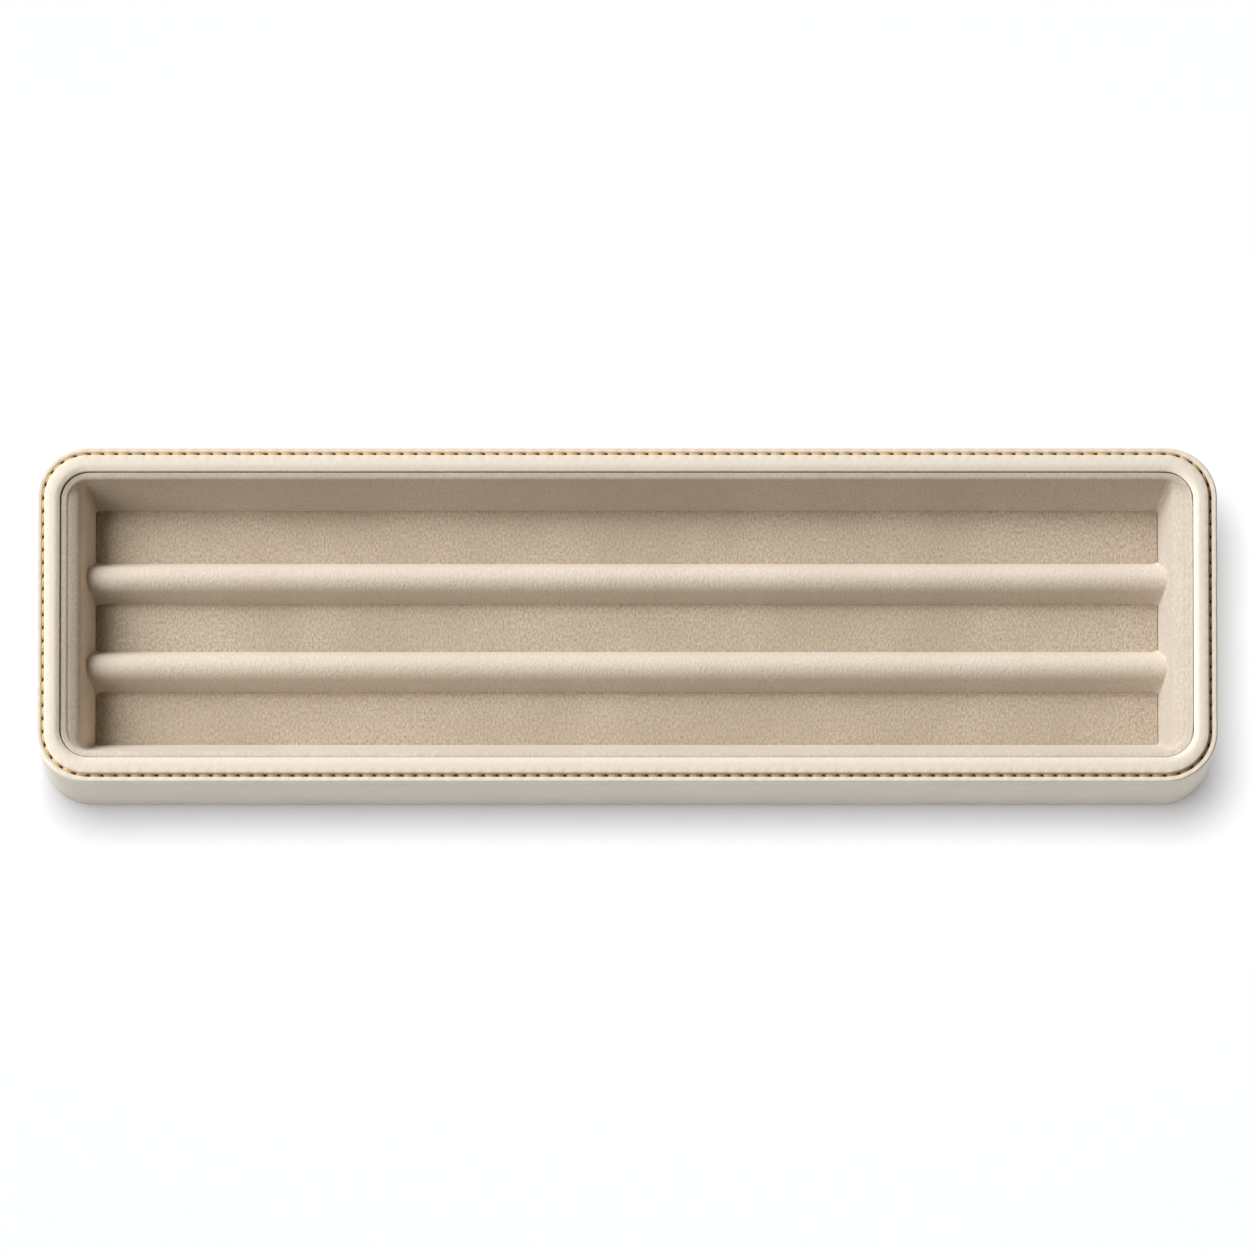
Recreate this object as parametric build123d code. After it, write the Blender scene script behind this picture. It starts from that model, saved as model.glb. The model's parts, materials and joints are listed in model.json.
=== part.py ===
from build123d import *
import os
from math import cos, degrees, pi, radians, sin, tan

# A desk pen tray: a leather-covered carcass with a padded, stitched rim, lined with suede,
# and parted by two long ridges into three pen channels. Millimetres, +X along the channels,
# front at -Y, +Z up, origin on the table under the middle of the tray.

# Overall size, outside the rim
tray_length = 300.0
tray_width = 88.8
tray_height = 27.0
corner_radius = 13.4

# Leather, thread and suede
side_leather = 1.2
rim_leather = 1.0
suede_thickness = 0.6
thread_diameter = 0.7
stitch_pitch = 3.47
stitch_gap = 0.57
thread_clearance = 0.03

# Outer wall and underside
side_taper = 1.5
felt_thickness = 0.8
felt_margin = 1.0
hem_width = 5.0
fold_radius = 0.6

# Carcass of board: a base with rails and corner blocks tongued into it
base_thickness = 6.7
rail_thickness = 4.0
tongue_width = 1.6
tongue_depth = 2.0
end_tongue_length = 3.0
joint_clearance = 0.1

# Rim roll
rim_overhang = 0.15
rim_crown = 1.3
rim_tail = 12.0
stitch_inset = 1.7

# Wall liner, from its folded top bead down to the floor
liner_gap = 0.15
bead_drop = 0.6
bead_height = 0.8
back_fold = 5.0
end_shoulder = 2.7
side_shoulder = 1.1
shoulder_drop = 1.5
shoulder_radius = 4.0
floor_radius = 1.0
draft_angle = 28.0

# Floor and ridges
floor_card = 2.5
floor_foam = 2.5
divider_pitch = 23.4
divider_height = 6.5
divider_top_radius = 3.85
lining_clearance = 0.1

# Levels above the table
hem_top = felt_thickness + side_leather
base_top = hem_top + base_thickness
card_top = base_top + floor_card
foam_top = card_top + floor_foam
floor_level = foam_top + suede_thickness
flange_top = tray_height - rim_crown
flange_bottom = flange_top - rim_leather
rail_top = flange_bottom - side_leather
bead_top = flange_top - bead_drop
liner_edge = bead_top - bead_height
shoulder_level = liner_edge - shoulder_drop


def face_inset(level):
    """How far in from the rim's outer edge the tapered side leather's face lies at a level."""
    share = (flange_bottom - level) / (flange_bottom - felt_thickness)
    return rim_overhang + side_taper * share


def carcass_inset(level):
    """How far in the board behind the side leather lies at a level."""
    return face_inset(level) + side_leather


# Distances in from the rim's outer edge
rail_inside = carcass_inset(rail_top) + rail_thickness
rail_foot_middle = (carcass_inset(base_top) + rail_inside) / 2
rim_inside = rail_inside + rim_leather
bead_outside = rim_inside + liner_gap
bead_inside = bead_outside + 2 * suede_thickness
wall_run = (shoulder_level - floor_level) * tan(radians(draft_angle))
floor_end = bead_inside + end_shoulder + wall_run
floor_side = bead_inside + side_shoulder + wall_run

# Fits and places that several pieces share
groove_radius = thread_diameter / 2 + thread_clearance
ridge_centre = divider_height - divider_top_radius
divider_places = {"front": -divider_pitch / 2, "back": divider_pitch / 2}
sides = ("front", "right", "back", "left")
corners = ("front_right", "back_right", "back_left", "front_left")


def place_index(name):
    """Which side or corner this is, counted anticlockwise from the front."""
    return sides.index(name) if name in sides else corners.index(name)


def to_place(name):
    """Quarter turns that bring a piece drawn at the front, or front right, to its place."""
    return Rot(0, 0, 90 * place_index(name))


def span(name):
    """The tray's length and depth as seen from this side, or from the side before this corner."""
    return (tray_length, tray_width) if place_index(name) % 2 == 0 else (tray_width, tray_length)


def block(start, end, low, high):
    """Rectangle of a wall section: x runs in from the rim's outer edge, y up from the table."""
    return Pos((start + end) / 2, (low + high) / 2) * Rectangle(end - start, high - low)


def straight_run(section, side, spare=0.0):
    """Draws a wall section along one side between its corner arcs, and past each by spare."""
    length, depth = span(side)
    half_run = length / 2 - corner_radius + spare
    start = Plane(origin=(-half_run, -depth / 2, 0), x_dir=(0, 1, 0), z_dir=(1, 0, 0))
    return to_place(side) * extrude(start * section, amount=2 * half_run)


def corner_centre(corner):
    """Centre of a corner arc, before the corner is turned to its place."""
    length, depth = span(corner)
    return length / 2 - corner_radius, corner_radius - depth / 2


def corner_run(section, corner):
    """Draws a wall section round one corner arc."""
    x, y = corner_centre(corner)
    start = Plane(origin=(x, y - corner_radius, 0), x_dir=(0, 1, 0), z_dir=(1, 0, 0))
    turned = revolve(start * section, Axis((x, y, 0), (0, 0, 1)), revolution_arc=90)
    return to_place(corner) * turned


def all_runs(section):
    """The eight runs of a wall section, four straight and four round the corners."""
    straight = [straight_run(section, side) for side in sides]
    return straight + [corner_run(section, corner) for corner in corners]


def ring(section):
    """A wall section drawn all the way round the tray as one solid."""
    return Part() + all_runs(section)


def outline(end_inset, side_inset, radius, level):
    """Rounded rectangle at a level, set in from the rim's outer edge at the ends and sides."""
    width = tray_length - 2 * end_inset
    depth = tray_width - 2 * side_inset
    return Pos(0, 0, level) * RectangleRounded(width, depth, radius)


def plate(inset, low, high):
    """Flat plate that follows the rim's outline, set in by inset."""
    return extrude(outline(inset, inset, corner_radius - inset, low), amount=high - low)


def cavity(back_off):
    """The tray's hollow down to the base board, with its walls moved outwards by back_off."""
    drop = back_off / 2
    edge = bead_inside - back_off
    end, side = edge + end_shoulder, edge + side_shoulder
    foot = (floor_end - back_off, floor_side - back_off, floor_radius + back_off)
    rows = [
        outline(edge, edge, corner_radius - edge, liner_edge - drop),
        outline(end, side, shoulder_radius + back_off, shoulder_level - drop),
        outline(*foot, floor_level),
        outline(*foot, base_top),
    ]
    return loft(rows, ruled=True)


def wall_sector(side):
    """Mitred share of the liner that belongs to one side, as a prism."""
    x, y = tray_length / 2, tray_width / 2
    floor_x, floor_y = x - floor_end, y - floor_side
    shapes = {
        "front": [(-x, -y), (x, -y), (floor_x, -floor_y), (-floor_x, -floor_y)],
        "right": [(x, -y), (x, y), (floor_x, floor_y), (floor_x, -floor_y)],
        "back": [(x, y), (-x, y), (-floor_x, floor_y), (floor_x, floor_y)],
        "left": [(-x, y), (-x, -y), (-floor_x, -floor_y), (-floor_x, floor_y)],
    }
    return extrude(make_face(Polyline(*shapes[side], close=True)), amount=tray_height)


def base_felt():
    return plate(face_inset(felt_thickness) + felt_margin, 0, felt_thickness)


def base_infill_card():
    """Card that levels the underside inside the turned-under leather."""
    return plate(face_inset(felt_thickness) + hem_width + joint_clearance, felt_thickness, hem_top)


def tongue(extra, low, high):
    """Section of the tongue in the middle of the rails, or of its groove with some extra."""
    half_width = tongue_width / 2 + extra
    return block(rail_foot_middle - half_width, rail_foot_middle + half_width, low, high)


def divider_tongue(y, extra):
    """Tongue under a ridge, or its groove in the base board with some extra."""
    length = tray_length - 2 * floor_end
    depth = tongue_depth + extra
    tongue_box = Box(length + 2 * extra, tongue_width + 2 * extra, depth)
    return Pos(0, y, base_top - depth / 2) * tongue_box


def base_board():
    groove = ring(tongue(joint_clearance, base_top - tongue_depth - joint_clearance, base_top))
    faces = []
    for level in (hem_top, base_top):
        inset = carcass_inset(level)
        faces.append(outline(inset, inset, corner_radius - inset, level))
    board = loft(faces, ruled=True) - groove
    return board - [divider_tongue(y, joint_clearance) for y in divider_places.values()]


def rail_section():
    """Section of the carcass wall: tapered outside, upright inside, with a tongue at its foot."""
    outside = [(carcass_inset(rail_top), rail_top), (carcass_inset(base_top), base_top)]
    inside = [(rail_inside, base_top), (rail_inside, rail_top)]
    wall = make_face(Polyline(*outside, *inside, close=True))
    return wall + tongue(0, base_top - tongue_depth, base_top)


def rail(side):
    """Straight wall with a tongue along its foot and one on each end."""
    ends = straight_run(tongue(0, base_top, rail_top), side, end_tongue_length)
    return straight_run(rail_section(), side) + ends


def corner_block(corner):
    """Rounded corner of the carcass, slotted for the end tongues of the two rails beside it."""
    slot = tongue(joint_clearance, base_top, rail_top)
    slot_length = end_tongue_length + joint_clearance
    return corner_run(rail_section(), corner) - [straight_run(slot, side, slot_length) for side in sides]


def side_wrap():
    """Leather band: the outer face, turned in over the rails and under the base board."""
    hem_end = face_inset(felt_thickness) + hem_width
    outside = [(rail_inside, flange_bottom), (face_inset(flange_bottom), flange_bottom)]
    outside += [(face_inset(felt_thickness), felt_thickness), (hem_end, felt_thickness)]
    inside = [(hem_end, hem_top), (carcass_inset(hem_top), hem_top)]
    inside += [(carcass_inset(rail_top), rail_top), (rail_inside, rail_top)]
    section = make_face(Polyline(*outside, *inside, close=True))
    top_fold = section.vertices().sort_by(Axis.X)[0]
    base_fold = section.vertices().group_by(Axis.Y)[0].sort_by(Axis.X)[0]
    return ring(fillet([top_fold, base_fold], fold_radius))


def roll_section(skin):
    """The rim's domed roll, from the stitch groove to the gap, less a skin of this thickness."""
    start = stitch_inset + groove_radius
    half_chord = (rim_inside - start) / 2
    radius = (half_chord**2 + rim_crown**2) / (2 * rim_crown)
    dome = Pos(start + half_chord, tray_height - radius) * Circle(radius - skin)
    return dome & block(start, rim_inside - skin, flange_bottom, tray_height)


def rim_cover():
    """Leather over the roll, with a stitched flange outside and a tail down inside the wall."""
    edge = Pos(rim_leather / 2, flange_bottom + rim_leather / 2) * Circle(rim_leather / 2)
    flange = block(rim_leather / 2, stitch_inset + 2 * groove_radius, flange_bottom, flange_top)
    tail = block(rail_inside, rim_inside, flange_top - rim_tail, flange_top)
    groove = Pos(stitch_inset, flange_top) * Circle(groove_radius)
    return ring(edge + flange + tail + roll_section(0) - roll_section(rim_leather) - groove)


def rim_padding():
    """Foam under the rim leather: four straight strips and four corner pieces."""
    return Compound(children=all_runs(roll_section(rim_leather)))


def straight_stitches(side):
    """Round-ended lengths of thread along one straight side, bedded in the rim's groove."""
    length, depth = span(side)
    run = length - 2 * corner_radius
    count = round(run / stitch_pitch)
    stitch_length = run / count - stitch_gap
    upper_half = Pos(0, thread_diameter / 4) * Rectangle(stitch_length, thread_diameter / 2)
    stitch = revolve(SlotOverall(stitch_length, thread_diameter) & upper_half, Axis.X)
    start = to_place(side) * Pos(-run / 2, stitch_inset - depth / 2, flange_top)
    return [start * Pos((index + 0.5) * run / count, 0, 0) * stitch for index in range(count)]


def corner_stitches(corner):
    """The same stitches bent round one corner arc."""
    bend = corner_radius - stitch_inset
    count = round(bend * pi / 2 / stitch_pitch)
    rod_angle = 90 / count - degrees((stitch_gap + thread_diameter) / bend)
    across = Plane(origin=(0, -bend, 0), x_dir=(0, 1, 0), z_dir=(1, 0, 0))
    stitch = revolve(across * Circle(thread_diameter / 2), Axis.Z, revolution_arc=rod_angle)
    for angle in (0, rod_angle):
        stitch += Rot(0, 0, angle) * Pos(0, -bend, 0) * Sphere(thread_diameter / 2)
    x, y = corner_centre(corner)
    start = to_place(corner) * Pos(x, y, flange_top) * Rot(0, 0, -rod_angle / 2)
    return [start * Rot(0, 0, (index + 0.5) * 90 / count) * stitch for index in range(count)]


def rim_stitches():
    """Every visible stitch as a solid of its own."""
    stitches = [stitch for side in sides for stitch in straight_stitches(side)]
    stitches += [stitch for corner in corners for stitch in corner_stitches(corner)]
    return Compound(children=stitches)


def liner_wedges():
    """Sloped foam behind the wall suede, mitred into one wedge for each side."""
    back = bead_inside - suede_thickness
    top = liner_edge - suede_thickness / 2
    foam = plate(back, base_top, top) - cavity(suede_thickness)
    return {side: foam & wall_sector(side) for side in sides}


def liner_suedes():
    """Wall suede: folded behind the wedge, over the bead and down the slope to the base board."""
    back = bead_inside - suede_thickness
    fold_top = liner_edge - suede_thickness / 2
    skin = cavity(suede_thickness) + plate(back, fold_top, liner_edge) - cavity(0)
    bead_centre = bead_top - suede_thickness
    bead = Pos(back, bead_centre) * Circle(suede_thickness)
    bead += block(bead_outside, bead_inside, fold_top, bead_centre)
    fold = block(bead_outside, back, fold_top - back_fold, fold_top)
    lining = skin + ring(bead + fold)
    return {side: lining & wall_sector(side) for side in sides}


def ridge_foot(skin):
    """Half the width of a ridge, less a skin, where its drafted side meets the floor."""
    slope = radians(draft_angle)
    return (ridge_centre * sin(slope) + divider_top_radius - skin) / cos(slope)


def divider_section(skin):
    """Ridge section across the tray, less a skin: drafted sides under a round top."""
    slope = radians(draft_angle)
    radius = divider_top_radius - skin
    foot = ridge_foot(skin)
    centre_level = floor_level + ridge_centre
    tangent_point = (radius * cos(slope), centre_level + radius * sin(slope))
    right = [(foot, base_top), (foot, floor_level), tangent_point]
    left = [(-y, z) for y, z in reversed(right)]
    return make_face(Polyline(*right, *left, close=True)) + Pos(0, centre_level) * Circle(radius)


def divider_body(y, skin):
    """Ridge drawn along the tray and cut to the slope of the end walls."""
    start = Plane(origin=(-tray_length / 2, y, 0), x_dir=(0, 1, 0), z_dir=(1, 0, 0))
    body = extrude(start * divider_section(skin), amount=tray_length)
    return body & cavity(-lining_clearance - skin)


def divider_core(y):
    return divider_body(y, suede_thickness) + divider_tongue(y, 0)


def divider_suede(y):
    return divider_body(y, 0) - divider_body(y, suede_thickness)


def floor_layer(low, high):
    """One layer of the floor, cut into the strips of the three channels."""
    foot = ridge_foot(0) + lining_clearance
    inner = divider_pitch / 2 - foot
    outer = divider_pitch / 2 + foot
    reach = tray_width / 2
    strips = {"front": (-reach, -outer), "middle": (-inner, inner), "back": (outer, reach)}
    pieces = {}
    for name, (near, far) in strips.items():
        slab = Pos(0, (near + far) / 2, (low + high) / 2) * Box(tray_length, far - near, high - low)
        pieces[name] = slab & cavity(-lining_clearance)
    return pieces


nodes = {
    "base_felt": base_felt(),
    "base_infill_card": base_infill_card(),
    "base_board": base_board(),
    "side_wrap": side_wrap(),
    "rim_padding": rim_padding(),
    "rim_cover": rim_cover(),
    "rim_stitches": rim_stitches(),
}
for side in sides:
    nodes[f"{side}_rail"] = rail(side)
for corner in corners:
    nodes[f"corner_block_{corner}"] = corner_block(corner)
for side, piece in liner_wedges().items():
    nodes[f"liner_wedge_{side}"] = piece
for side, piece in liner_suedes().items():
    nodes[f"liner_suede_{side}"] = piece
for place, y in divider_places.items():
    nodes[f"divider_core_{place}"] = divider_core(y)
    nodes[f"divider_suede_{place}"] = divider_suede(y)
floor_layers = {
    "floor_card": (base_top, card_top),
    "floor_foam": (card_top, foam_top),
    "floor_suede": (foam_top, floor_level),
}
for layer, levels in floor_layers.items():
    for place, piece in floor_layer(*levels).items():
        nodes[f"{layer}_{place}"] = piece

os.makedirs("parts", exist_ok=True)
for name, piece in nodes.items():
    export_step(piece, f"parts/{name}.step")
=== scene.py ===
"""Leather pen tray: the leather, thread, suede and felt around the tray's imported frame."""

import json
import math
import random

import bmesh
import bpy
from mathutils import Matrix, Vector, noise


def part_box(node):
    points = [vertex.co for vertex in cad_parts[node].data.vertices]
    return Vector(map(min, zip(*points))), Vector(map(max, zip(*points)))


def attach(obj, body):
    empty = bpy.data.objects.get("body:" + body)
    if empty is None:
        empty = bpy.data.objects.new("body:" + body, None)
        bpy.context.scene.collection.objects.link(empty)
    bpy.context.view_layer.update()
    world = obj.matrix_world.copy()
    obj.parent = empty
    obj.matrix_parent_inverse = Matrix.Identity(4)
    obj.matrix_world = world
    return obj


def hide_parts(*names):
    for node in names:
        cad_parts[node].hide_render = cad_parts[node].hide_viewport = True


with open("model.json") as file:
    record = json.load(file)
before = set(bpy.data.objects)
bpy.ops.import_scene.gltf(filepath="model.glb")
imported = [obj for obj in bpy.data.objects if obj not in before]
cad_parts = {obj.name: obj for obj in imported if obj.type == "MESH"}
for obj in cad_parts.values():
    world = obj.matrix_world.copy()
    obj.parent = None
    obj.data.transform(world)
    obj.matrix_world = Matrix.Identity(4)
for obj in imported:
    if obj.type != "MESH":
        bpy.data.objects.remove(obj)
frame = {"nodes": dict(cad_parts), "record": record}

bl_info = {
    "name": "Leather Pen Tray",
    "version": (1, 0, 0),
    "blender": (4, 5, 0),
    "location": "3D View > Sidebar > Pen Tray",
    "description": "Dresses a pen tray's frame in leather, stitching, suede and felt",
    "category": "Object",
}

MM = 0.001
QUARTER_TURN = math.pi / 2
MERGE_DISTANCE = 0.01 * MM
SIDES = ("front", "right", "back", "left")
CHANNELS = ("front", "middle", "back")
RIDGES = ("front", "back")

# Places read from the frame, in metres
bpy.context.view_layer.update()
rim_low, rim_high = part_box("rim_cover")
wrap_low, wrap_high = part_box("side_wrap")
thread_low, thread_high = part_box("rim_stitches")
liner_low, liner_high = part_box("liner_suede_front")
floor_low, floor_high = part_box("floor_suede_front")
felt_low, felt_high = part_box("base_felt")
rail_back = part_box("front_rail")[1].y
block_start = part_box("corner_block_front_right")[0].x
base_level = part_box("base_board")[1].z

# The rim's outline, and levels and insets that several pieces share
half_length = rim_high.x
half_width = rim_high.y
corner_radius = half_length - block_start
thread_radius = (thread_high.z - thread_low.z) / 2
thread_level = thread_low.z + thread_radius
stitch_inset = half_length - thread_high.x + thread_radius
flange_bottom = wrap_high.z
hem_level = wrap_low.z
rail_inset = half_width + rail_back
bead_inset = half_width + liner_low.y
bead_level = liner_high.z
floor_level = floor_high.z


def linear(hex_colour):
    """Linear RGB of an sRGB hex colour."""
    channels = [int(hex_colour[start:start + 2], 16) / 255 for start in (0, 2, 4)]
    return tuple(c / 12.92 if c <= 0.04045 else ((c + 0.055) / 1.055) ** 2.4 for c in channels)


def length(name, description, millimetres):
    return bpy.props.FloatProperty(
        name=name, description=description, default=millimetres * MM, min=0, unit="LENGTH"
    )


def angle(name, description, degrees):
    return bpy.props.FloatProperty(
        name=name, description=description, default=math.radians(degrees), subtype="ANGLE"
    )


def amount(name, description, value, least=0):
    return bpy.props.FloatProperty(name=name, description=description, default=value, min=least)


def colour(name, description, hex_colour):
    return bpy.props.FloatVectorProperty(
        name=name, description=description, default=linear(hex_colour), min=0, max=1, subtype="COLOR"
    )


class PenTrayLeather(bpy.types.PropertyGroup):
    """Sizes of the leather case and its stitching"""

    rim_thickness: length("Rim leather", "Thickness of the leather over the rim", 0.55)
    rim_side_extra: length("Side extra", "How much wider the rim is along the two long sides", 0.45)
    side_thickness: length("Side leather", "Thickness of the leather round the outside", 1.2)
    side_taper: length("Side taper", "How far the base is set in from the rim on each side", 1.5)
    side_overhang: length("Overhang", "How far the rim stands out over the side leather", 0.02)
    corner_tuck: length("Corner tuck", "How much further the base is set in at the corners", 0.7)
    hem_width: length("Hem", "Width of leather turned under the base", 5.0)
    base_fold: length("Base fold", "Rounding of the fold under the base", 0.8)
    top_fold: length("Top fold", "Rounding of the fold under the rim", 0.05)
    side_wave: length("Side wave", "Depth of the side leather's slight waves", 0.05)
    lip_height: length("Lip height", "How far the rim's outer lip stands above the thread", 0.6)
    lip_round: length("Lip rounding", "Rounding of the lip's outer edge", 0.4)
    groove_width: length("Groove width", "Width of the groove that the stitches lie in", 0.95)
    groove_depth: length("Groove depth", "Depth of the groove below the thread's middle", 0.38)
    roll_foot_drop: length("Roll foot drop", "How far the roll falls towards the groove", 0.08)
    roll_crest: length("Roll crest", "From the stitch line to where the roll reaches its crest", 1.9)
    roll_turn: length("Roll turn", "From the stitch line to where the roll starts to fall inwards", 3.0)
    roll_fall: length("Roll fall", "How far the roll falls from its crest to its inner edge", 0.38)
    roll_edge: length("Roll edge", "Width and height of the bevel along the roll's inner edge", 0.16)
    pucker_depth: length("Pucker", "How deep the stitches draw in the leather beside them", 0.09)
    slit_length: length("Slit length", "Length of the needle slit between two stitches", 1.2)
    slit_depth: length("Slit depth", "Depth of the needle slit between two stitches", 0.42)
    edge_wear: length("Edge wear", "Depth of the roughness along the rim's cut edge", 0.06)
    edge_wear_size: length("Edge wear size", "Spacing of the roughness along the rim's cut edge", 0.9)
    roll_crease: length("Roll crease", "Depth of the creases across the roll's inner edge", 0.05)
    roll_crease_size: length("Roll crease size", "Spacing of the creases across the roll's inner edge", 2.2)
    stitch_pitch: length("Stitch pitch", "Spacing of the stitches", 3.47)
    stitch_length: length("Stitch length", "Length of thread that shows in one stitch", 3.1)
    stitch_width: length("Stitch width", "Width of a stitch at its middle", 0.76)
    stitch_height: length("Stitch height", "Height of a stitch at its middle", 0.66)
    stitch_lift: length("Stitch lift", "How far the thread's middle lies above the sewing line", 0.25)
    stitch_dive: length("Stitch dive", "How far the ends of a stitch sink into the leather", 0.22)
    stitch_slant: angle("Stitch slant", "Turn of each stitch across the seam", -4.0)


class PenTraySuede(bpy.types.PropertyGroup):
    """Sizes of the suede lining and the felt"""

    bead_gap: length("Bead gap", "Gap between the rim and the folded bead", 0.14)
    bead_width: length("Bead width", "Width of the folded bead along the rim", 1.2)
    wall_rise: length("Wall rise", "How far the wall's top edge stands above the bead's seam", 0.5)
    bead_swell: length("Bead swell", "How much the bead swells above its seam", 1.05)
    bead_fall: length("Bead fall", "How far the bead falls from the rim to its inner edge", 0.48)
    end_shoulder: length("End shoulder", "Width of the soft shoulder on the two short walls", 3.4)
    side_shoulder: length("Side shoulder", "Width of the soft shoulder on the two long walls", 1.1)
    shoulder_drop: length("Shoulder drop", "Height of the soft shoulder", 2.05)
    shoulder_radius: length("Shoulder corner", "Corner radius at the foot of the shoulder", 2.4)
    floor_radius: length("Floor corner", "Corner radius where the walls meet the floor", 0.6)
    wall_draft: angle("Wall draft", "Lean of the ridges' ends against the walls", 32.0)
    wall_fullness: amount("Wall fullness", "How far padding rounds the walls out; 1 is flat", 1.15, least=1)
    # Length over which the walls' painted light and shade fade in
    painted_light_blend: length("Nap blend", "Length over which the nap turns between two walls", 3.0)
    pad_edge: length("Pad edge", "Rounding of the floor pads' upper edges", 0.25)
    pad_crown: length("Pad crown", "How much the middle of a floor pad stands up", 0.1)
    ridge_draft: angle("Ridge draft", "Lean of the ridges' long sides from upright", 26.0)
    ridge_edge: length("Ridge end", "Rounding of the ridges' ends", 0.12)
    ridge_flare: length("Ridge flare", "Length over which the ridges' feet turn into the end walls", 1.5)
    ridge_tuck: length("Ridge tuck", "How far the suede lies inside the ridges' solid", 0.42)
    felt_edge: length("Felt edge", "Rounding of the felt's edge", 0.25)
    lining_gap: length("Lining gap", "Gap between neighbouring pieces of the lining", 0.1)


class PenTrayColours(bpy.types.PropertyGroup):
    """Colours of the tray's materials"""

    leather: colour("Leather", "Cream leather", "EDE5D8")
    leather_crease: colour("Leather crease", "Leather in its grain's creases", "E2D7C7")
    seam: colour("Seam", "Leather burnished along the stitch line", "E2C9A2")
    # Painted shade inside the needle slits
    needle_hole_painted_shade: colour("Needle hole", "Leather inside the needle slits", "2C1B0D")
    thread: colour("Thread", "Tan sewing thread", "DCC097")
    thread_shade: colour("Thread shade", "Between the plies of the thread", "B39463")
    wall_suede: colour("Wall suede", "Nap that stands up on the walls", "E4DACD")
    wall_suede_shade: colour("Wall suede shade", "Nap that lies down on the walls", "C9BBAB")
    # Painted light: the ridges' suede is a paler copy of the walls' suede
    ridge_suede_painted_light: colour("Ridge suede", "Nap that stands up on the ridges, towards the light", "E9DFD2")
    ridge_suede_shade: colour("Ridge suede shade", "Nap that lies down on the ridges", "D5C7B7")
    # Painted shade: the floor's suede is a darker copy of the walls' suede
    floor_suede: colour("Floor suede", "Nap that stands up on the floor, against the light", "D9CAB8")
    floor_suede_shade: colour("Floor suede shade", "Nap that lies down on the floor", "A69680")
    felt: colour("Felt", "Pressed felt under the base", "A8977F")
    felt_shade: colour("Felt shade", "Darker fibres in the felt", "85755F")
    board: colour("Board", "Fibreboard of the carcass", "A98A63")
    board_shade: colour("Board shade", "Dark fibres in the board", "7C5F3E")
    card: colour("Card", "Grey card under the floor", "8F8A82")
    card_shade: colour("Card shade", "Dark flecks in the card", "6A655E")
    floor: colour("Studio floor", "Paper that the tray stands on", "F0F3F7")


class PenTrayStudio(bpy.types.PropertyGroup):
    """The camera's and the lights' places and strengths"""

    view_height: angle("View height", "Angle of the camera above the table", 73.0)
    frame_width: length("Frame width", "Width of the picture at the tray", 318.8)
    view_distance: length("Camera distance", "From the camera to the tray", 15000.0)
    aim_across: length("Aim across", "How far right of the middle the camera aims", 0.05)
    aim_height: length("Aim height", "How far above the table the camera aims", 15.3)
    key_turn: angle("Key turn", "Way round to the key light from the right, anticlockwise", 151.0)
    key_height: angle("Key height", "Angle of the key light above the table", 34.0)
    key_distance: length("Key distance", "From the key light to the tray", 7000.0)
    key_size: length("Key size", "Width of the key light's soft box", 4300.0)
    key_level: amount("Key level", "Brightness that the key gives a white card facing it", 1.62)
    side_key_level: amount("Side key level", "The same for a card held against the tray's outer sides", 1.1)
    fill_turn: angle("Fill turn", "Way round to the fill light from the right, anticlockwise", 200.0)
    fill_height: angle("Fill height", "Angle of the fill light above the table", 25.0)
    fill_distance: length("Fill distance", "From the fill light to the tray", 2200.0)
    fill_width: length("Fill width", "Width of the fill light's panel", 2400.0)
    fill_depth: length("Fill depth", "Height of the fill light's panel", 1100.0)
    fill_level: amount("Fill level", "Brightness that the fill gives a white card facing it", 0.36)
    fill_tint: colour("Fill tint", "Tint of the fill light", "FFF7ED")
    sky_level: amount("Sky level", "Brightness of the light from all round", 0.1)
    sky_tint: colour("Sky tint", "Tint of the light from all round", "FFEBD0")
    paper_light_turn: angle("Paper light turn", "Way round to the paper's light from the right", 130.0)
    paper_light_height: angle("Paper light height", "Angle of the paper's light above the table", 79.5)
    paper_light_spread: angle("Paper light spread", "Width of the paper's light in the sky", 36.0)
    paper_light_level: amount("Paper light level", "Brightness that the paper's light gives it", 0.84)
    paper_wash_level: amount("Paper wash level", "Brightness of the paper in full shadow", 0.21)


def add_node(tree, kind, inputs=(), **settings):
    """Adds a node with its settings, and sets or links its inputs by name or index."""
    node = tree.nodes.new(kind)
    for setting, value in settings.items():
        setattr(node, setting, value)
    for socket, value in dict(inputs).items():
        if isinstance(value, bpy.types.NodeSocket):
            tree.links.new(value, node.inputs[socket])
        else:
            node.inputs[socket].default_value = value
    return node


# Sockets of the Mix node when it mixes colours
MIX_SHARE, MIX_FIRST, MIX_SECOND, MIX_RESULT = 0, 6, 7, 2


def opaque(rgb):
    """A colour socket's value."""
    return (*rgb, 1.0)


def blend(tree, share, first, second):
    """Mixes two colours."""
    inputs = {MIX_SHARE: share, MIX_FIRST: first, MIX_SECOND: second}
    return add_node(tree, "ShaderNodeMix", inputs, data_type="RGBA").outputs[MIX_RESULT]


def remap(tree, value, low, high, to_low=0.0, to_high=1.0):
    """Brings a value from one range to another and keeps it inside."""
    inputs = {"Value": value, "From Min": low, "From Max": high, "To Min": to_low, "To Max": to_high}
    return add_node(tree, "ShaderNodeMapRange", inputs).outputs["Result"]


def speckle(tree, place, size, detail, roughness=0.5):
    """Noise with spots of about one size."""
    inputs = {"Vector": place, "Scale": 1 / size, "Detail": detail, "Roughness": roughness}
    return add_node(tree, "ShaderNodeTexNoise", inputs).outputs["Fac"]


def stretch(tree, place, scale, turn=0.0):
    """A place stretched along the axes and turned."""
    inputs = {"Vector": place, "Scale": scale, "Rotation": (0, 0, turn)}
    return add_node(tree, "ShaderNodeMapping", inputs).outputs["Vector"]


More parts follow.
